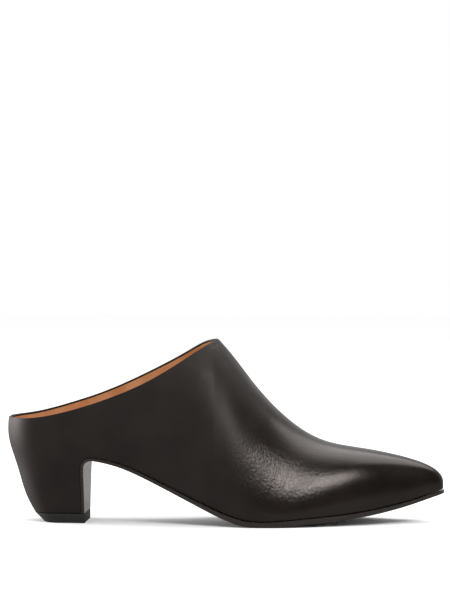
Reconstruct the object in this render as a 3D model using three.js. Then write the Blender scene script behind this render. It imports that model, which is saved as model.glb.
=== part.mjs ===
// Right mule, size EU 38, on a pointed last with a 45 mm block heel.
// x runs from the back of the heel to the toe, y from the outer (lateral) to the inner (medial)
// side, z up from the floor. The finished group is centred on its own box at the floor.
import * as THREE from 'three';
import { mergeVertices } from 'three/addons/utils/BufferGeometryUtils.js';

// Driving sizes, mm
const LENGTH = 268;
const BALL_WIDTH = 76;
const INSTEP = 112; // top of the foot at the throat
const HEEL_HEIGHT = 45; // floor to the heel seat

const WALL = 2.0; // leather, stiffener and lining together
const COVER_WALL = 1.2; // the same leather where it wraps the heel block
const GAP = 0.3; // room between pieces that touch
const INSOLE = 2.6;
const FLAP = 1.8; // outsole leather on the breast of the heel
const LIP = 0.8; // how far the sole's edge stands out past the upper
const TIP_LIP = 0.4; // and at the tip of the toe
const TOP_PIECE = 5.7;
const FAN_X = 31; // the round of the heel starts behind here
const BREAST = 49.2; // front face of the heel
const CORNER = 8.5; // radius between the breast and the arch
const THROAT = 129.5; // front of the opening, on the ridge
const TREAD_INSET = 0.5; // the top piece narrows this much to its foot
const TREAD_SHARE = 0.83; // and is cut back behind to this share of its length
const LIP_RUN = 34; // the lip grows from nothing over this length in front of the heel
const INSOLE_END = 7.8; // the insole stops where the feather line comes this near the axis
const SHOULDER = 2; // the heel block starts to widen into the seat this far below the corner
const WELD = 1e-3; // points closer than this are one point
const TINY = 1e-6;

// Steps that each stretch is walked in
const STEPS = {
	round: 8, heel: 3, corner: 4, quarter: 14, fore: 24, up: 14, cover: 5, across: 6,
	breast: 4, bend: 6, blockUp: 4, blockSide: 3, blockRound: 10, settle: 6, halve: 40,
};

const LATERAL = -1;
const MEDIAL = 1;
const SIDES = [LATERAL, MEDIAL];

// Sections of the last from the heel to the toe, as shares of the driving sizes:
//   at       place along the length
//   seat     height of the feather line, where upper and sole meet
//   arch     how much higher that line is on the medial side
//   lateral, medial    half widths at the feather line
//   outer, inner       how far the two walls swell past it
//   side     height of the fullest point, from the feather line to the ridge
//   crown    roundness over the ridge
//   ridge    height of the ridge, carried on behind the throat as if the last went up the leg
//   lean     how far the ridge sits to the medial side
//   axis     swing of the centre line
const SECTION_COLUMNS = [
	['at', LENGTH], ['seat', HEEL_HEIGHT], ['arch', HEEL_HEIGHT],
	['lateral', BALL_WIDTH], ['medial', BALL_WIDTH], ['outer', BALL_WIDTH], ['inner', BALL_WIDTH],
	['side', 1], ['crown', BALL_WIDTH], ['ridge', INSTEP], ['lean', BALL_WIDTH], ['axis', BALL_WIDTH],
];
const SECTIONS = table(SECTION_COLUMNS, [
	// at   seat   arch  lateral medial outer inner  side crown  ridge  lean  axis
	[0.116, 0.984, 0.000, 0.342, 0.342, 0.088, 0.088, 0.31, 0.20, 1.16, 0.000, 0.000],
	[0.180, 0.931, 0.010, 0.344, 0.328, 0.090, 0.100, 0.31, 0.21, 1.18, 0.012, 0.000],
	[0.262, 0.838, 0.045, 0.342, 0.285, 0.088, 0.140, 0.31, 0.25, 1.20, 0.030, 0.000],
	[0.366, 0.561, 0.065, 0.362, 0.272, 0.090, 0.175, 0.32, 0.36, 1.170, 0.050, 0.000],
	[0.478, 0.245, 0.045, 0.430, 0.330, 0.070, 0.150, 0.33, 0.43, 1.011, 0.065, 0.000],
	[0.560, 0.086, 0.010, 0.485, 0.430, 0.052, 0.090, 0.24, 0.37, 0.770, 0.070, 0.003],
	[0.642, 0.097, 0.000, 0.477, 0.485, 0.040, 0.055, 0.24, 0.30, 0.563, 0.070, 0.008],
	[0.724, 0.135, 0.000, 0.414, 0.447, 0.040, 0.044, 0.44, 0.29, 0.443, 0.055, 0.020],
	[0.813, 0.190, 0.000, 0.315, 0.335, 0.033, 0.033, 0.60, 0.25, 0.402, 0.036, 0.035],
	[0.903, 0.292, 0.000, 0.192, 0.200, 0.026, 0.026, 0.62, 0.145, 0.359, 0.020, 0.053],
	[0.963, 0.389, 0.000, 0.108, 0.110, 0.020, 0.020, 0.64, 0.085, 0.311, 0.006, 0.065],
	[0.991, 0.435, 0.000, 0.056, 0.056, 0.013, 0.013, 0.66, 0.045, 0.262, 0.000, 0.071],
	[0.9978, 0.452, 0.000, 0.000, 0.000, 0.000, 0.000, 0.66, 0.000, 0.216, 0.000, 0.073],
]);
// past the toe a section mirrors the one before it in these columns, which closes the nose round
const CLOSING = ['lateral', 'medial', 'outer', 'inner', 'crown'];

// Height of the collar's edge along each side; both end on the ridge at the throat
const COLLAR = table([['at', LENGTH], ['lateral', INSTEP], ['medial', INSTEP]], [
	[0.000, 0.577, 0.577],
	[0.052, 0.574, 0.587],
	[0.116, 0.595, 0.624],
	[0.224, 0.669, 0.710],
	[0.336, 0.783, 0.834],
	[0.410, 0.891, 0.930],
	[0.455, 0.961, 0.987],
]);

// How far forward the back of the heel lies at each height
const HEEL_BACK = table([['height', HEEL_HEIGHT], ['back', LENGTH]], [
	[0.120, 0.0635],
	[0.311, 0.0450],
	[0.533, 0.0320],
	[0.800, 0.0187],
	[1.022, 0.0065],
	[1.155, 0.0013],
	[1.289, 0.0000],
	[1.400, 0.0015],
	[1.511, 0.0060],
]);
// Plan of the heel's round, a five degree curve: shares of its depth and half width
const ROUND = [[1, 1], [0.72, 1], [0.40, 1], [0.17, 0.80], [0, 0.38], [0, 0]];

// Thickness of the outsole along the length
const SOLE = table([['at', LENGTH], ['thick', 1]], [
	[0.18, 2.0],
	[0.26, 2.3],
	[0.40, 2.6],
	[0.56, 3.6],
	[0.75, 3.2],
	[0.90, 2.8],
	[1.00, 2.0],
]);

function table(columns, rows) {
	return rows.map((row) => Object.fromEntries(columns.map(([name, unit], i) => [name, row[i] * unit])));
}

// Smooth curve through points, with its curvature continuous and no bend at its ends
function spline(xs, ys) {
	const last = xs.length - 1;
	const bend = new Array(last + 1).fill(0);
	const carry = new Array(last + 1).fill(0);
	for (let i = 1; i < last; i++) {
		const before = xs[i] - xs[i - 1];
		const after = xs[i + 1] - xs[i];
		const turn = 6 * ((ys[i + 1] - ys[i]) / after - (ys[i] - ys[i - 1]) / before);
		const pivot = 2 * (before + after) - before * carry[i - 1];
		carry[i] = after / pivot;
		bend[i] = (turn - before * bend[i - 1]) / pivot;
	}
	for (let i = last - 1; i > 0; i--) bend[i] -= carry[i] * bend[i + 1];
	return (x) => {
		let i = 0;
		while (i < last - 1 && x > xs[i + 1]) i++;
		const step = xs[i + 1] - xs[i];
		const b = (x - xs[i]) / step;
		const a = 1 - b;
		const curve = (a ** 3 - a) * bend[i] + (b ** 3 - b) * bend[i + 1];
		return a * ys[i] + b * ys[i + 1] + curve * step * step / 6;
	};
}

function splineOf(rows, from, to) {
	return spline(rows.map((row) => row[from]), rows.map((row) => row[to]));
}

// The value in a range where a rising function reaches a target
function solve(rising, target, low, high) {
	for (let i = 0; i < STEPS.halve; i++) {
		const middle = (low + high) / 2;
		if (rising(middle) < target) low = middle;
		else high = middle;
	}
	return (low + high) / 2;
}

// The last: one smooth curve for each column, through the rows and their mirror images
const MIRRORED = 3;
const TIP = SECTIONS.length - 1;
const lastColumns = (() => {
	const heel = SECTIONS[0];
	const toe = SECTIONS[TIP];
	const behind = SECTIONS.slice(1, MIRRORED + 1).reverse()
		.map((row) => ({ ...row, at: 2 * heel.at - row.at }));
	const beyond = SECTIONS.slice(TIP - MIRRORED, TIP).reverse().map((row) => ({
		...row,
		...Object.fromEntries(CLOSING.map((name) => [name, -row[name]])),
		ridge: 2 * toe.ridge - row.ridge,
	}));
	const rows = [...behind, ...SECTIONS, ...beyond];
	const places = rows.map((_, i) => i - MIRRORED);
	return SECTION_COLUMNS.map(([name]) => [name, spline(places, rows.map((row) => row[name]))]);
})();

function sectionAt(place) {
	return Object.fromEntries(lastColumns.map(([name, curve]) => [name, curve(place)]));
}

function sectionAtX(x) {
	return sectionAt(solve((place) => lastColumns[0][1](place), x, 0, TIP));
}

function feather(section, side) {
	return section.seat + (side === MEDIAL ? section.arch : 0);
}

// A point of the outer wall: t is 0 on the feather line and 1 on the ridge, and below 0 the wall
// runs straight on down, as it does over the heel block
function wallPoint(section, t, side) {
	const width = side === MEDIAL ? section.medial : section.lateral;
	const swell = side === MEDIAL ? section.inner : section.outer;
	const foot = feather(section, side);
	const rise = section.side * (section.ridge - foot);
	const lean = side * section.lean;
	const up = Math.max(t, 0);
	const down = Math.min(t, 0);
	const a = (1 - up) ** 3;
	const b = 3 * (1 - up) ** 2 * up;
	const c = 3 * (1 - up) * up ** 2;
	const d = up ** 3;
	const y = a * width + b * (width + swell) + c * (lean + section.crown) + d * lean + 3 * down * swell;
	const z = a * foot + b * (foot + rise) + (c + d) * section.ridge + 3 * down * rise;
	return new THREE.Vector3(section.at, section.axis + side * y, z);
}

const FLOOR_T = -2; // a t that is below the floor in every section

function tAtHeight(section, z, side) {
	return solve((t) => wallPoint(section, t, side).z, z, FLOOR_T, 1);
}

function wallAtHeight(x, z, side) {
	const section = sectionAtX(x);
	return wallPoint(section, tAtHeight(section, z, side), side);
}

// The round of the heel: turn is 0 at its start on one side and 1 at the centre of the back
const heelBack = splineOf(HEEL_BACK, 'height', 'back');
const BINOMIAL = [1, 5, 10, 10, 5, 1];

function heelPoint(turn, z, side) {
	const width = Math.abs(wallAtHeight(FAN_X, z, side).y);
	const depth = FAN_X - heelBack(z);
	let x = 0;
	let y = 0;
	ROUND.forEach(([forward, out], i) => {
		const weight = BINOMIAL[i] * (1 - turn) ** (5 - i) * turn ** i;
		x += weight * forward;
		y += weight * out;
	});
	return new THREE.Vector3(FAN_X - depth * (1 - x), side * width * y, z);
}

// Collar heights, each side ending on the ridge at the throat
const throat = wallPoint(sectionAtX(THROAT), 1, MEDIAL);
const collarRows = [...COLLAR, { at: THROAT, lateral: throat.z, medial: throat.z }];
const collar = {
	[LATERAL]: splineOf(collarRows, 'at', 'lateral'),
	[MEDIAL]: splineOf(collarRows, 'at', 'medial'),
};

// Lower edge of the upper in front of the breast: a round corner, then the feather line
const EDGE_X = BREAST - FLAP - GAP;
const ARCH_X = EDGE_X + CORNER;

function lowerEdge(x, side) {
	const height = feather(sectionAtX(x), side);
	if (x >= ARCH_X) return height;
	const across = Math.min((ARCH_X - x) / CORNER, 1);
	return height - CORNER * (1 - Math.sqrt(1 - across * across));
}
const CORNER_Z = lowerEdge(EDGE_X, LATERAL);
const COVER_FOOT = TOP_PIECE + GAP;
const FEATHER_AT_FAN = feather(sectionAtX(FAN_X), LATERAL);

// Evenly spaced numbers from one value to another
function spread(from, to, steps) {
	return Array.from({ length: steps + 1 }, (_, i) => from + (to - from) * i / steps);
}

// Stations along the shoe, from the centre of the back to the tip of the toe
const FAN_TURNS = spread(1, 0, STEPS.round).slice(0, -1);
const HEEL_XS = spread(FAN_X, EDGE_X, STEPS.heel);
const CORNER_XS = spread(0, Math.PI / 2, STEPS.corner).slice(1)
	.map((angle) => ARCH_X - CORNER * Math.cos(angle));
const CLOSER = 1.4; // the stations draw together towards the throat
const QUARTER_XS = spread(0, CLOSER, STEPS.quarter).slice(1)
	.map((angle) => ARCH_X + (THROAT - ARCH_X) * Math.sin(angle) / Math.sin(CLOSER));
const THROAT_PLACE = solve((place) => lastColumns[0][1](place), THROAT, 0, TIP);
const FORE_SECTIONS = spread(THROAT_PLACE, TIP, STEPS.fore).slice(1).map(sectionAt);
const EVEN_OPEN = 0.7; // rows are even where at least this share of the section is open above
const STRONGEST = 3; // power that bends the rows to the full sections' at the throat

// Values of t up one section: even steps where the wall is low, and close to the steps of a full
// section near the throat, so that the rows run through
function stepsUp(low, top) {
	const power = THREE.MathUtils.clamp(EVEN_OPEN / Math.max(1 - top, TINY) - 1, 0, STRONGEST);
	return spread(0, 1, STEPS.up).map((q) => low * (1 - q) + q * (1 - (1 - top) * q ** power));
}

// Triangles of a grid of points, walked so that its outer face is the same all over
function gridTriangles(columns, turned) {
	const triangles = [];
	for (let i = 0; i < columns.length - 1; i++) {
		for (let j = 0; j < columns[i].length - 1; j++) {
			const [a, b, c, d] = [columns[i][j], columns[i + 1][j], columns[i + 1][j + 1], columns[i][j + 1]];
			triangles.push(...(turned ? [[a, d, c], [a, c, b]] : [[a, b, c], [a, c, d]]));
		}
	}
	return triangles;
}

// One mesh with shared corners from triangles of points; triangles with no area are dropped
function weld(triangles) {
	const positions = triangles.flat().flatMap((point) => [point.x, point.y, point.z]);
	const geometry = new THREE.BufferGeometry();
	geometry.setAttribute('position', new THREE.Float32BufferAttribute(positions, 3));
	const merged = mergeVertices(geometry, WELD);
	const index = [];
	for (let i = 0; i < merged.index.count; i += 3) {
		const [a, b, c] = [0, 1, 2].map((k) => merged.index.getX(i + k));
		if (a !== b && b !== c && c !== a) index.push(a, b, c);
	}
	merged.setIndex(index);
	merged.computeVertexNormals();
	return merged;
}

// A closed wall from an open sheet: the sheet, its offset against its normals, and the edges
function thicken(sheet, thicknessAt, place = (point) => point) {
	const index = Array.from(sheet.index.array);
	const outer = [];
	const inner = [];
	for (let i = 0; i < sheet.attributes.position.count; i++) {
		const point = new THREE.Vector3().fromBufferAttribute(sheet.attributes.position, i);
		const normal = new THREE.Vector3().fromBufferAttribute(sheet.attributes.normal, i);
		outer.push(point);
		inner.push(place(point.clone().addScaledVector(normal, -thicknessAt(point)), point));
	}
	const edges = new Set();
	for (let i = 0; i < index.length; i += 3) {
		for (let k = 0; k < 3; k++) edges.add(`${index[i + k]} ${index[i + (k + 1) % 3]}`);
	}
	const triangles = [];
	for (let i = 0; i < index.length; i += 3) {
		const [a, b, c] = index.slice(i, i + 3);
		triangles.push([outer[a], outer[b], outer[c]], [inner[a], inner[c], inner[b]]);
	}
	for (const edge of edges) {
		const [a, b] = edge.split(' ').map(Number);
		if (edges.has(`${b} ${a}`)) continue;
		triangles.push([outer[a], inner[a], inner[b]], [outer[a], inner[b], outer[b]]);
	}
	return weld(triangles);
}

// A solid through closed loops of points, each loop a lateral half and the same medial half
function loft(loops) {
	const triangles = [];
	for (let k = 0; k < loops.length - 1; k++) {
		const [low, high] = [loops[k], loops[k + 1]];
		for (let i = 0; i < low.length; i++) {
			const j = (i + 1) % low.length;
			triangles.push([low[i], high[j], low[j]], [low[i], high[i], high[j]]);
		}
	}
	const cap = (loop, turned) => {
		const middle = Math.floor(loop.length / 2);
		const columns = loop.slice(0, middle + 1).map((point, i) => [point, loop[loop.length - 1 - i]]);
		triangles.push(...gridTriangles(columns, turned));
	};
	cap(loops[0], false);
	cap(loops[loops.length - 1], true);
	return weld(triangles);
}

// Upper: one wall from the collar to the feather line and down over the heel block
function upper() {
	const triangles = [];
	const start = sectionAtX(FAN_X);
	const startTop = tAtHeight(start, collar[LATERAL](FAN_X), LATERAL);
	const startHeights = spread(tAtHeight(start, CORNER_Z, LATERAL), startTop, STEPS.up)
		.map((t) => wallPoint(start, t, LATERAL).z);
	const startRise = startHeights[STEPS.up] - startHeights[0];
	const share = startHeights.map((z) => (z - startHeights[0]) / startRise);
	for (const side of SIDES) {
		const quarter = FAN_TURNS.map((turn) => {
			let top = collar[side](0);
			for (let i = 0; i < STEPS.settle; i++) top = collar[side](heelPoint(turn, top, side).x);
			return share.map((part) => heelPoint(turn, CORNER_Z + part * (top - CORNER_Z), side));
		});
		for (const x of [...HEEL_XS, ...CORNER_XS, ...QUARTER_XS]) {
			const section = sectionAtX(x);
			const low = x <= EDGE_X ? CORNER_Z : lowerEdge(x, side);
			const top = x < THROAT - TINY ? tAtHeight(section, collar[side](x), side) : 1;
			quarter.push(stepsUp(tAtHeight(section, low, side), top).map((t) => wallPoint(section, t, side)));
		}
		for (const section of FORE_SECTIONS) {
			quarter.push(spread(0, 1, STEPS.up).map((t) => wallPoint(section, t, side)));
		}
		const heights = spread(COVER_FOOT, CORNER_Z, STEPS.cover);
		const cover = [
			...FAN_TURNS.map((turn) => heights.map((z) => heelPoint(turn, z, side))),
			...HEEL_XS.map((x) => heights.map((z) => wallAtHeight(x, z, side))),
		];
		triangles.push(...gridTriangles(quarter, side === MEDIAL), ...gridTriangles(cover, side === MEDIAL));
	}
	return thicken(weld(triangles), wallThickness);
}

function wallThickness(point) {
	if (point.x > ARCH_X) return WALL;
	const { seat } = sectionAtX(Math.max(point.x, FAN_X));
	return THREE.MathUtils.lerp(WALL, COVER_WALL, THREE.MathUtils.clamp((seat - point.z) / CORNER, 0, 1));
}

// The feather line in plan with an offset, paired lateral and medial at each station
function featherPairs(sections, offset) {
	const outline = {};
	for (const side of SIDES) {
		outline[side] = sections.map((section) => wallPoint(section, 0, side));
	}
	return sections.map((section, i) => SIDES.map((side) => {
		const line = outline[side];
		const before = line[Math.max(i - 1, 0)];
		const after = line[Math.min(i + 1, line.length - 1)];
		const along = after.clone().sub(before).setZ(0).normalize();
		if (section.lateral < GAP) return line[i].clone().setX(line[i].x + Math.min(offset, TIP_LIP));
		const out = new THREE.Vector3(-side * along.y, side * along.x, 0);
		return line[i].clone().addScaledVector(out, offset);
	}));
}

// Straight lines of points between the pairs
function ribs(pairs) {
	return pairs.map(([lateral, medial]) => spread(0, 1, STEPS.across)
		.map((part) => lateral.clone().lerp(medial, part)));
}

const soleThickness = splineOf(SOLE, 'at', 'thick');

// Outsole: down the breast of the heel, round the corner and along the arch to the toe
function outsole() {
	const pairs = [];
	const inside = EDGE_X + GAP;
	for (const z of spread(COVER_FOOT, CORNER_Z, STEPS.breast).slice(0, -1)) {
		pairs.push(SIDES.map((side) => wallAtHeight(EDGE_X, z, side).setX(inside)));
	}
	for (const angle of spread(0, Math.PI / 2, STEPS.bend).slice(0, -1)) {
		const x = ARCH_X - (CORNER - GAP) * Math.cos(angle);
		const drop = CORNER - (CORNER - GAP) * Math.sin(angle);
		pairs.push(SIDES.map((side) => {
			const z = feather(sectionAtX(x), side) - drop;
			return wallAtHeight(x, z, side);
		}));
	}
	const sections = [...[ARCH_X, ...QUARTER_XS].map(sectionAtX), ...FORE_SECTIONS];
	const edge = featherPairs(sections, LIP);
	const plain = featherPairs(sections, 0);
	sections.forEach((section, i) => {
		const share = THREE.MathUtils.smoothstep(section.at, ARCH_X, ARCH_X + LIP_RUN);
		pairs.push(SIDES.map((_, k) => {
			const point = plain[i][k].clone().lerp(edge[i][k], share);
			return point.setZ(point.z - GAP);
		}));
	});
	const sheet = weld(gridTriangles(ribs(pairs), false));
	const thickness = ({ x, z }) => {
		const along = z < CORNER_Z && x < ARCH_X ? 0 : THREE.MathUtils.smoothstep(x, inside, ARCH_X);
		return THREE.MathUtils.lerp(FLAP, soleThickness(x), along);
	};
	const tread = (point, top) => {
		if (top.x < ARCH_X) return point;
		return point.copy(top).setZ(Math.max(top.z - soleThickness(top.x), 0));
	};
	return thicken(sheet, thickness, tread);
}

// Insole: the board that the foot stands on, inside the wall and on top of sole and heel block
function insole() {
	const inset = WALL + 2 * GAP;
	const roomy = FORE_SECTIONS.filter((section) => section.lateral > INSOLE_END);
	const sections = [...[...HEEL_XS, ...CORNER_XS, ...QUARTER_XS].map(sectionAtX), ...roomy];
	const front = featherPairs(sections, -inset);
	const seat = sectionAtX(FAN_X).seat;
	const back = FAN_TURNS.map((turn) => SIDES.map((side) => {
		const point = heelPoint(turn, seat, side);
		const full = new THREE.Vector2(FAN_X - heelBack(seat), sectionAtX(FAN_X).lateral);
		const share = new THREE.Vector2(full.x - inset, full.y - inset).divide(full);
		return new THREE.Vector3(FAN_X - (FAN_X - point.x) * share.x, point.y * share.y, seat);
	}));
	const sheet = weld(gridTriangles(ribs([...back, ...front]), false));
	const raised = sheet.clone().translate(0, 0, INSOLE);
	return thicken(raised, () => INSOLE, (_, top) => top.clone().setZ(top.z - INSOLE));
}

// Plan of the heel at one height, drawn in by an inset: lateral front, round the back, medial front
function heelLoop(z, front, inset) {
	const half = (side) => [
		...spread(front, FAN_X, STEPS.blockSide).slice(0, -1).map((x) => wallAtHeight(x, z, side)),
		...spread(0, 1, STEPS.blockRound).map((turn) => heelPoint(turn, z, side)),
	];
	const outline = [...half(LATERAL), ...half(MEDIAL).reverse().slice(1)];
	return outline.map((point, i) => {
		const before = outline[Math.max(i - 1, 0)];
		const after = outline[Math.min(i + 1, outline.length - 1)];
		const along = after.clone().sub(before).setZ(0).normalize();
		const isFront = i === 0 || i === outline.length - 1;
		const [x, y] = isFront ? [0, -Math.sign(point.y)] : [along.y, -along.x];
		return point.clone().addScaledVector(new THREE.Vector3(x, y, 0), inset);
	});
}

// Heel block: fills the cover from the top piece to the seat
function heelBlock() {
	const inset = COVER_WALL + 2 * GAP;
	const levels = spread(COVER_FOOT, CORNER_Z - SHOULDER, STEPS.blockUp)
		.map((z) => heelLoop(z, EDGE_X, inset));
	const seat = heelLoop(FEATHER_AT_FAN - CORNER / 2, EDGE_X, WALL + 2 * GAP)
		.map((point) => point.setZ(sectionAtX(Math.max(point.x, FAN_X)).seat - GAP));
	return loft([...levels, seat]);
}

// Top piece: the rubber that the heel stands on, cut back behind
function topPiece() {
	const top = heelLoop(TOP_PIECE, BREAST, 0);
	const foot = heelLoop(TOP_PIECE, BREAST, TREAD_INSET)
		.map((point) => new THREE.Vector3(BREAST - (BREAST - point.x) * TREAD_SHARE, point.y, 0));
	return loft([foot, top]);
}

const group = new THREE.Group();

function add(name, geometry, color, roughness) {
	const material = new THREE.MeshStandardMaterial({ color, roughness, metalness: 0 });
	const mesh = new THREE.Mesh(geometry, material);
	mesh.name = name;
	group.add(mesh);
}

add('upper', upper(), 0x2a2624, 0.38);
add('insole', insole(), 0xa8703f, 0.6);
add('outsole', outsole(), 0x1c1917, 0.3);
add('heel_block', heelBlock(), 0x55504a, 0.6);
add('top_piece', topPiece(), 0x1e1d1c, 0.8);

const box = new THREE.Box3().setFromObject(group);
group.position.set(-(box.min.x + box.max.x) / 2, -(box.min.y + box.max.y) / 2, -box.min.z);

export default group;
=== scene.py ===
from math import cos, exp, pi, radians, sin

import bmesh
import bpy
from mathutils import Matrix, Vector


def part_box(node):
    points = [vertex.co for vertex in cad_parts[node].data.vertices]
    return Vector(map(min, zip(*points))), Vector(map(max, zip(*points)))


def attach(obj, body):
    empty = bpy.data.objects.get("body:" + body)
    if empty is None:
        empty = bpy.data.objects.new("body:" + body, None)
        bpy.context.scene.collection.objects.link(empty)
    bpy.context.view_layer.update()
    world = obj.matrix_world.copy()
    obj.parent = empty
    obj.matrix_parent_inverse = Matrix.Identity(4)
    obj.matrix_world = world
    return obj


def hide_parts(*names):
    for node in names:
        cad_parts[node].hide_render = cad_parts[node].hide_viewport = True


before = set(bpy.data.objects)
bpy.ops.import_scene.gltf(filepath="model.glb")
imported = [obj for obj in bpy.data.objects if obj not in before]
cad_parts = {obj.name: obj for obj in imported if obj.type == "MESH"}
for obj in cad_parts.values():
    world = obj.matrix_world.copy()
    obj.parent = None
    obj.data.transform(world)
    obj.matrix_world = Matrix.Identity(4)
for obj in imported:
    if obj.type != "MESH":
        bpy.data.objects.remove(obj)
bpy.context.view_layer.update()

MM = 0.001

# Places on the shoe, worked out from the frame (metres, +X to the toe, +Y to the inner side)
UPPER_LOW, UPPER_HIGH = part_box("upper")
HEEL_BACK_X = UPPER_LOW.x
LENGTH = UPPER_HIGH.x - HEEL_BACK_X
COLLAR_TOP = UPPER_HIGH.z
HALF_UP = COLLAR_TOP / 2  # the whole collar runs above this height, and the folds lie below it


def at_length(share):
    """X at a share of the length from the heel to the toe."""
    return HEEL_BACK_X + share * LENGTH


BACK_X = at_length(0.05)  # behind this lies the back of the heel, with its seam


# ---------------------------------------------------------------- colours and materials

def linear(hex_colour):
    """An sRGB hex colour as linear red, green, blue and alpha."""
    parts = [int(hex_colour[i:i + 2], 16) / 255 for i in (1, 3, 5)]
    return [c / 12.92 if c <= 0.04045 else ((c + 0.055) / 1.055) ** 2.4 for c in parts] + [1]


def node(tree, kind, settings=None, links=None):
    """One shader node: settings go to its properties or sockets, links go to its sockets."""
    made = tree.nodes.new(kind)
    for key, value in (settings or {}).items():
        if isinstance(key, int) or key in made.inputs:
            made.inputs[key].default_value = value
        else:
            setattr(made, key, value)
    for key, socket in (links or {}).items():
        tree.links.new(socket, made.inputs[key])
    return made


def surface(name, **settings):
    """A material with a Principled shader, its node tree and its object coordinates."""
    material = bpy.data.materials.new(name)
    material.use_nodes = True
    tree = material.node_tree
    tree.nodes.clear()
    shader = node(tree, "ShaderNodeBsdfPrincipled", settings)
    node(tree, "ShaderNodeOutputMaterial", None, {"Surface": shader.outputs["BSDF"]})
    place = node(tree, "ShaderNodeTexCoord").outputs["Object"]
    return material, tree, shader, place


def noise(tree, place, size_mm, detail=3, roughness=0.5, stretch=None):
    """Noise whose features are about size_mm across, stretched along an axis if asked."""
    if stretch:
        place = node(tree, "ShaderNodeMapping", {"Scale": stretch[0], "Rotation": stretch[1]},
                     {"Vector": place}).outputs["Vector"]
    settings = {"Scale": 1 / (size_mm * MM), "Detail": detail, "Roughness": roughness}
    return node(tree, "ShaderNodeTexNoise", settings, {"Vector": place}).outputs["Fac"]


def ramp(tree, value, stops):
    """A colour or grey ramp: stops are (place, hex colour)."""
    made = node(tree, "ShaderNodeValToRGB", None, {"Fac": value})
    while len(made.color_ramp.elements) < len(stops):
        made.color_ramp.elements.new(0.5)
    for element, (place, colour) in zip(made.color_ramp.elements, stops):
        element.position = place
        element.color = linear(colour)
    return made.outputs["Color"]


def spread(tree, value, low, high, out_low, out_high):
    """A value range mapped onto another one."""
    settings = {"From Min": low, "From Max": high, "To Min": out_low, "To Max": out_high}
    return node(tree, "ShaderNodeMapRange", settings, {"Value": value}).outputs["Result"]


def bump(tree, shader, layers):
    """Bump layers, each (height socket, depth in mm, strength), laid over each other."""
    normal = None
    for height, depth_mm, strength in layers:
        links = {"Height": height}
        if normal:
            links["Normal"] = normal
        settings = {"Distance": depth_mm * MM, "Strength": strength}
        normal = node(tree, "ShaderNodeBump", settings, links).outputs["Normal"]
    tree.links.new(normal, shader.inputs["Normal"])


def back_seam(tree, place):
    """Height of the closed seam down the middle of the back: a groove that is flat for 0.1 mm on
    each side and comes level at 0.5 mm, and that fades out forward of the heel's back."""
    axes = node(tree, "ShaderNodeSeparateXYZ", None, {"Vector": place})
    off = node(tree, "ShaderNodeMath", {"operation": "ABSOLUTE"}, {0: axes.outputs["Y"]})
    groove = spread(tree, off.outputs["Value"], 0.1 * MM, 0.5 * MM, 0, 1)
    forward = spread(tree, axes.outputs["X"], at_length(0.1), at_length(0.12), 0, 1)
    higher = node(tree, "ShaderNodeMath", {"operation": "MAXIMUM"}, {0: groove, 1: forward})
    return higher.outputs["Value"]


def black_calf():
    """Black box calf, aniline dyed and hand polished: very fine pores, a soft waxy sheen that is
    a little uneven, and a fine break of tiny wrinkles where the ball of the foot bends it."""
    material, tree, shader, place = surface("black_box_calf", **{
        "IOR": 1.5, "Specular Tint": linear("#fff4ee")})
    cloud = noise(tree, place, 24, 2)
    tree.links.new(ramp(tree, cloud, [(0.35, "#100d0b"), (0.65, "#171210")]), shader.inputs["Base Color"])
    # the quarters are left soft, and the polish comes up over the vamp towards the forepart
    forward = node(tree, "ShaderNodeSeparateXYZ", None, {"Vector": place}).outputs["X"]
    soft_until, polished_from, duller = at_length(0.44), at_length(0.6), 0.4
    dull = spread(tree, forward, soft_until, polished_from, duller, 0)
    uneven = spread(tree, noise(tree, place, 9, 3), 0.3, 0.7, 0.2, 0.26)
    rough = node(tree, "ShaderNodeMath", {"operation": "ADD"}, {0: uneven, 1: dull}).outputs["Value"]
    tree.links.new(rough, shader.inputs["Roughness"])
    # pores drawn at 0.5 mm, coarser than the real 0.1 mm, so that they show
    pores = noise(tree, place, 0.5, 2)
    # wrinkles 1.1 mm apart, drawn out along the folds, in an oval about the bend that fades outwards
    lean = (0, radians(-38), 0)
    wrinkle = noise(tree, place, 1.1, 3, 0.6, ((1.0, 1.0, 0.5), lean))
    bend, half_long, half_high = Vector((at_length(0.645), 0, 34 * MM)), 42 * MM, 26 * MM
    from_bend = node(tree, "ShaderNodeMapping", {"Location": -bend}, {"Vector": place})
    oval = node(tree, "ShaderNodeVectorMath",
                {"operation": "MULTIPLY", 1: (1 / half_long, 0, 1 / half_high)},
                {0: from_bend.outputs["Vector"]})
    away = node(tree, "ShaderNodeVectorMath", {"operation": "LENGTH"}, {0: oval.outputs["Vector"]})
    near_bend = spread(tree, away.outputs["Value"], 0.4, 1.5, 1, 0)
    broken = node(tree, "ShaderNodeMath", {"operation": "MULTIPLY"}, {0: wrinkle, 1: near_bend})
    bump(tree, shader, [(pores, 0.02, 0.35), (broken.outputs["Value"], 0.22, 1.0),
                        (back_seam(tree, place), 0.5, 1.0)])
    return material


def tan_lining():
    """Vegetable tanned calf lining, undyed: warm tan with faint clouds and open pores, nearly matt."""
    material, tree, shader, place = surface("tan_lining_calf", IOR=1.45)
    cloud = noise(tree, place, 14, 4)
    tree.links.new(ramp(tree, cloud, [(0.3, "#a86f42"), (0.7, "#c08b62")]), shader.inputs["Base Color"])
    tree.links.new(spread(tree, cloud, 0.3, 0.7, 0.5, 0.62), shader.inputs["Roughness"])
    pores = noise(tree, place, 0.6, 2)
    bump(tree, shader, [(pores, 0.03, 0.4)])
    return material


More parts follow.
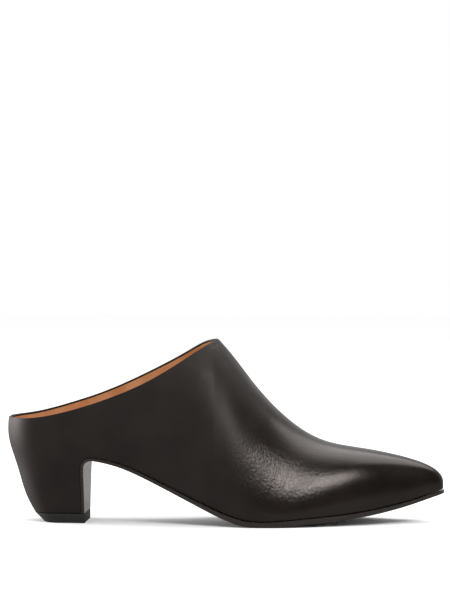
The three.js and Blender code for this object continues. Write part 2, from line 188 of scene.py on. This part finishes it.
def sole_leather():
    """Oak bark sole leather, dyed black, its edge and bottom burnished with wax: glassy and smooth
    with faint streaks along the sole from the burnishing iron."""
    material, tree, shader, place = surface("black_sole_leather", **{
        "IOR": 1.5, "Coat Weight": 1.0, "Coat Roughness": 0.12, "Specular Tint": linear("#ffeee4")})
    streak = noise(tree, place, 3, 3, 0.6, ((0.12, 1.0, 1.0), (0, 0, 0)))
    tree.links.new(ramp(tree, streak, [(0.3, "#120e0c"), (0.7, "#1f1815")]), shader.inputs["Base Color"])
    tree.links.new(spread(tree, streak, 0.3, 0.7, 0.24, 0.36), shader.inputs["Roughness"])
    grain = noise(tree, place, 0.8, 2)
    bump(tree, shader, [(grain, 0.02, 0.3), (streak, 0.05, 0.5)])
    return material


def top_rubber():
    """Hard black rubber top piece, cut and sanded flush: matt and grey at its cut edge, with a fine
    sanded grain drawn at 0.4 mm."""
    material, tree, shader, place = surface("sanded_black_rubber", IOR=1.52, Roughness=0.62)
    grit = noise(tree, place, 0.4, 3)
    tree.links.new(ramp(tree, grit, [(0.3, "#161514"), (0.7, "#22211f")]), shader.inputs["Base Color"])
    bump(tree, shader, [(grit, 0.04, 0.5)])
    return material


def heel_core():
    """Injection moulded ABS heel core, natural grey and satin, with faint flow marks."""
    material, tree, shader, place = surface("moulded_abs", IOR=1.54, Roughness=0.45)
    flow = noise(tree, place, 8, 2)
    tree.links.new(ramp(tree, flow, [(0.3, "#77736d"), (0.7, "#85817b")]), shader.inputs["Base Color"])
    bump(tree, shader, [(flow, 0.02, 0.2)])
    return material


# ---------------------------------------------------------------- modelling helpers

def deselect():
    bpy.ops.object.select_all(action="DESELECT")


def activate(piece):
    deselect()
    piece.select_set(True)
    bpy.context.view_layer.objects.active = piece


def edit(piece, mode="EDGE"):
    """Edit mode with nothing selected."""
    activate(piece)
    bpy.context.tool_settings.mesh_select_mode = [mode == kind for kind in ("VERT", "EDGE", "FACE")]
    bpy.ops.object.mode_set(mode="EDIT")
    bpy.ops.mesh.select_all(action="DESELECT")


def pick(piece, kind, wanted):
    """In edit mode, select the faces or verts that pass a test."""
    mesh = bmesh.from_edit_mesh(piece.data)
    for element in getattr(mesh, kind):
        element.select_set(wanted(element))
    bmesh.update_edit_mesh(piece.data)


def done():
    bpy.ops.object.mode_set(mode="OBJECT")


def copy_of(cad_node, name):
    """A merged copy of a CAD node's mesh with its triangles paired into quads."""
    piece = bpy.data.objects.new(name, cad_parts[cad_node].data.copy())
    bpy.context.scene.collection.objects.link(piece)
    piece.data.materials.clear()
    edit(piece)
    bpy.ops.mesh.select_all(action="SELECT")
    bpy.ops.mesh.remove_doubles(threshold=0.02 * MM)
    bpy.ops.mesh.tris_convert_to_quads(face_threshold=radians(50), shape_threshold=radians(70))
    done()
    return piece


def apply(piece, kind, **settings):
    """Add a modifier and apply it."""
    activate(piece)
    modifier = piece.modifiers.new(kind, kind)
    for key, value in settings.items():
        setattr(modifier, key, value)
    bpy.ops.object.modifier_apply(modifier=modifier.name)


def soften(piece, sharper_than, width_mm):
    """Round the edges that are sharper than an angle."""
    edit(piece)
    bpy.ops.mesh.edges_select_sharp(sharpness=radians(sharper_than))
    bpy.ops.mesh.bevel(offset=width_mm * MM, segments=2, profile=0.5, clamp_overlap=True)
    done()


def subdivide(piece, levels):
    apply(piece, "SUBSURF", levels=levels, render_levels=levels)


def finish(piece, material, slot, *nodes):
    """Give a piece its material and its smooth shading, and say what it rides on and replaces."""
    piece.data.materials.clear()
    piece.data.materials.append(material)
    activate(piece)
    bpy.ops.object.shade_smooth_by_angle(angle=radians(40))
    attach(piece, "root")
    if nodes:
        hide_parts(*nodes)


def inner_faces(piece):
    """Faces of the upper's inner wall: all that join the one beside the arch of the foot without
    crossing a sharp edge."""
    mesh = bmesh.new()
    mesh.from_mesh(piece.data)
    mesh.faces.ensure_lookup_table()
    beside_arch = Vector((at_length(0.4), UPPER_HIGH.y, HALF_UP))
    facing_in = [face for face in mesh.faces if face.normal.y < -0.7]
    start = min(facing_in, key=lambda face: (face.calc_center_median() - beside_arch).length)
    inside, waiting = {start.index}, [start]
    while waiting:
        for side in waiting.pop().edges:
            if len(side.link_faces) == 2 and side.calc_face_angle() < radians(50):
                for face in side.link_faces:
                    if face.index not in inside:
                        inside.add(face.index)
                        waiting.append(face)
    mesh.free()
    return inside


# ---------------------------------------------------------------- pieces

# Soft folds at the outer ball of the foot, mm from the back of the heel and above the floor:
# foot of the fold, its head, half width, depth
FOLDS = (
    (151, 15, 163, 34, 1.9, 0.10),
    (158, 15, 172, 37, 1.7, 0.13),
    (166, 17, 179, 35, 1.9, 0.11),
    (176, 17, 187, 32, 2.1, 0.08),
    (146, 22, 155, 38, 2.3, 0.08),
)
# How deep the collar dips at the back seam, its half width and how far down it is felt, mm
RIM_DIP, RIM_DIP_WIDE, RIM_DIP_REACH = 1.6, 2.2, 10.0
# Black leather folded over inside the collar, above the lining, mm
FOLDED_EDGE = 1.2
# Thickness of the lining, mm, and how it lies: 0 half sunk in the wall, 1 all in front of it
LINING_THICK, LINING_PROUD = 0.5, 0.6


def press_folds(piece):
    """Press the folds softly into the outer side of the leather."""
    facing = [corner.normal.copy() for corner in piece.data.vertices]
    for corner, normal in zip(piece.data.vertices, facing):
        place = corner.co
        if place.y > 0 or normal.y > 0 or place.z > HALF_UP:
            continue
        across = Vector(((place.x - HEEL_BACK_X) / MM, place.z / MM))
        depth = 0
        for foot_x, foot_z, head_x, head_z, half_width, deep in FOLDS:
            foot, head = Vector((foot_x, foot_z)), Vector((head_x, head_z))
            run = head - foot
            along = (across - foot).dot(run) / run.length_squared
            off = abs((across - foot).cross(run)) / run.length
            fade = max(0, 1 - (2 * along - 1) ** 2)
            depth += deep * fade * exp(-(off / half_width) ** 2)
        corner.co = place - normal * depth * MM


def dip_rim(piece):
    """Let the collar dip a little where its two sides meet at the closed seam behind the heel."""
    behind = [corner for corner in piece.data.vertices if corner.co.x < BACK_X]
    rim = max(corner.co.z for corner in behind if abs(corner.co.y) < RIM_DIP_WIDE * MM)
    for corner in behind:
        near_seam = exp(-(corner.co.y / (RIM_DIP_WIDE * MM)) ** 2)
        near_rim = max(0, 1 - (rim - corner.co.z) / (RIM_DIP_REACH * MM))
        corner.co.z -= RIM_DIP * MM * near_seam * near_rim


def leather_upper(material):
    """The black leather from the collar to the feather line and over the heel, its edge folded
    over at the collar."""
    piece = copy_of("upper", "leather_upper")
    soften(piece, sharper_than=60, width_mm=0.6)
    subdivide(piece, 2)
    press_folds(piece)
    dip_rim(piece)
    finish(piece, material, "black_leather", "upper")


def draw_back(piece, depth):
    """Slide the lining's upper edge down the wall, along the edges that run to the next row."""
    mesh = bmesh.new()
    mesh.from_mesh(piece.data)
    moves = []
    for corner in mesh.verts:
        if corner.is_boundary and corner.co.z > HALF_UP:
            inward = [side.other_vert(corner).co - corner.co for side in corner.link_edges
                      if not side.is_boundary]
            if inward:
                moves.append((corner, sum(inward, Vector()).normalized() * depth))
    for corner, move in moves:
        corner.co += move
    mesh.to_mesh(piece.data)
    mesh.free()


def close_seam(piece):
    """Merge the two sides of the lining where they meet in the middle of the back."""
    edit(piece, "VERT")
    pick(piece, "verts", lambda corner: corner.is_boundary and corner.co.x < BACK_X
         and abs(corner.co.y) < 1 * MM)
    bpy.ops.mesh.remove_doubles(threshold=0.7 * MM)
    done()


def lining(material):
    """Tan leather lining: the inner wall of the upper, stitched in just below the folded edge."""
    piece = copy_of("upper", "lining")
    keep = inner_faces(piece)
    # it ends at the seat, just under the top of the heel block, and doesn't go down round the heel
    under_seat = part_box("heel_block")[1].z - 2 * MM
    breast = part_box("top_piece")[1].x
    edit(piece, "FACE")
    pick(piece, "faces", lambda face: face.index not in keep or (
        face.calc_center_median().x < breast and face.calc_center_median().z < under_seat))
    bpy.ops.mesh.delete(type="FACE")
    done()
    close_seam(piece)
    draw_back(piece, FOLDED_EDGE * MM)
    subdivide(piece, 2)
    dip_rim(piece)
    apply(piece, "SOLIDIFY", thickness=LINING_THICK * MM, offset=LINING_PROUD)
    finish(piece, material, "tan_leather")


def plain_piece(cad_node, name, material, slot, sharper_than, width_mm, smooth=True):
    """A CAD node's form with its edges rounded, made smooth unless it is a flat cut sheet."""
    piece = copy_of(cad_node, name)
    soften(piece, sharper_than, width_mm)
    if smooth:
        subdivide(piece, 1)
    finish(piece, material, slot, cad_node)


black = black_calf()
tan = tan_lining()
leather_upper(black)
lining(tan)
plain_piece("outsole", "leather_outsole", sole_leather(), "sole_leather", sharper_than=40, width_mm=0.5)
plain_piece("insole", "sock_lining", tan, "tan_leather", sharper_than=40, width_mm=0.6)
plain_piece("top_piece", "rubber_top_piece", top_rubber(), "top_rubber", sharper_than=35, width_mm=0.35,
            smooth=False)
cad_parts["heel_block"].material_slots[0].material = heel_core()

# ---------------------------------------------------------------- floor, light and camera

# Brightness of the even room light, and of the walls mirrored in front of and behind the shoe
ROOM_FILL = 1.06
ROOM_WALLS = (0.04, 0.7)
# Whiteness of the floor; its painted shade, the grey that only the leather's shine sees near the shoe;
# and how far in front of the shoe that grey fades to a darker painted shade, m
CARD_WHITE = 0.96
CARD_PAINTED_SHADE_IN_SHINE = 0.2
CARD_FRONT = 0.35
# Soft boxes: azimuth in degrees (0 in front, + to the toe), elevation, distance, width, height, m,
# and brightness
SOFT_BOXES = (
    ("key_box", 25, 42, 1.6, 0.5, 0.5, 14.0),
    ("back_box", 140, 64, 1.9, 1.7, 1.2, 2.6),
    ("heel_box", -102, 3, 1.6, 0.9, 0.9, 20.0),
)


def soft_box(name, azimuth, elevation, distance, width, height, brightness):
    """A rectangular light that faces the middle of the shoe and is itself not seen."""
    middle = Vector((0, 0, 0.05))
    a, e = radians(azimuth), radians(elevation)
    place = Vector((sin(a) * cos(e), -cos(a) * cos(e), sin(e))) * distance
    lamp = bpy.data.lights.new(name, "AREA")
    lamp.shape = "RECTANGLE"
    lamp.size, lamp.size_y = width, height
    lamp.energy = brightness * pi * width * height
    thing = bpy.data.objects.new(name, lamp)
    bpy.context.scene.collection.objects.link(thing)
    thing.location = place
    thing.rotation_euler = (middle - place).to_track_quat("-Z", "Y").to_euler()
    thing.visible_camera = False


def pale_floor():
    """White card without a horizon. In the leather's shine it is painted dark: a grey painted shade near
    the shoe that fades to a darker painted shade further in front.
    """
    deselect()
    bpy.ops.mesh.primitive_plane_add(size=12, location=(0, 0, 0))
    floor = bpy.context.object
    floor.name = "floor"
    material, tree, shader, place = surface("white_card_painted_shade_in_shine", **{
        "Roughness": 0.9, "Specular IOR Level": 0.1})
    # painted shade: only in the leather's shine, the card's colour is painted grey near the shoe and
    # darker in front of it, in place of the shade that the shine would show there
    glossy = node(tree, "ShaderNodeLightPath").outputs["Is Glossy Ray"]
    depth = node(tree, "ShaderNodeSeparateXYZ", None, {"Vector": place}).outputs["Y"]
    fading, painted_shade_beyond = 0.2, 0.05
    painted_shade_near = spread(tree, depth, -CARD_FRONT - fading, -CARD_FRONT, painted_shade_beyond, CARD_PAINTED_SHADE_IN_SHINE)
    white_and_painted_shade = node(tree, "ShaderNodeMix", {"A": CARD_WHITE}, {"Factor": glossy, "B": painted_shade_near})
    tree.links.new(white_and_painted_shade.outputs["Result"], shader.inputs["Base Color"])
    floor.data.materials.append(material)


def room():
    """An even white room for the eye and for diffuse light. What the shine mirrors is dark in front
    of the shoe and light behind it."""
    world = bpy.data.worlds.new("studio")
    bpy.context.scene.world = world
    world.use_nodes = True
    world.cycles.sampling_method = "NONE"
    tree = world.node_tree
    tree.nodes.clear()
    direction = node(tree, "ShaderNodeSeparateXYZ", None,
                     {"Vector": node(tree, "ShaderNodeTexCoord").outputs["Generated"]})
    walls = spread(tree, direction.outputs["Y"], -0.3, 0.8, *ROOM_WALLS)
    path = node(tree, "ShaderNodeLightPath")
    lit = node(tree, "ShaderNodeMix", {"A": ROOM_FILL},
               {"Factor": path.outputs["Is Glossy Ray"], "B": walls})
    seen = node(tree, "ShaderNodeMix", {"B": 1.0},
                {"Factor": path.outputs["Is Camera Ray"], "A": lit.outputs["Result"]})
    back = node(tree, "ShaderNodeBackground", {"Color": (1, 1, 1, 1)},
                {"Strength": seen.outputs["Result"]})
    node(tree, "ShaderNodeOutputWorld", None, {"Surface": back.outputs["Background"]})


def camera():
    """In front of the outer side, a little towards the toe and a little above the shoe."""
    azimuth, distance, height = radians(3.2), 1.4, 0.155
    aim = Vector((-0.0002, -0.0004, 0.13557))
    view_height = 0.36738  # m from the top to the bottom of the view, at the shoe
    lens = bpy.data.cameras.new("camera")
    lens.sensor_width = 36
    lens.lens = distance / view_height * lens.sensor_width
    thing = bpy.data.objects.new("camera", lens)
    bpy.context.scene.collection.objects.link(thing)
    thing.location = aim + distance * Vector((sin(azimuth), -cos(azimuth), 0))
    thing.location.z = height
    thing.rotation_euler = (aim - thing.location).to_track_quat("-Z", "Y").to_euler()
    bpy.context.scene.camera = thing


pale_floor()
room()
for box in SOFT_BOXES:
    soft_box(*box)
camera()
bpy.context.scene.view_settings.view_transform = "Standard"
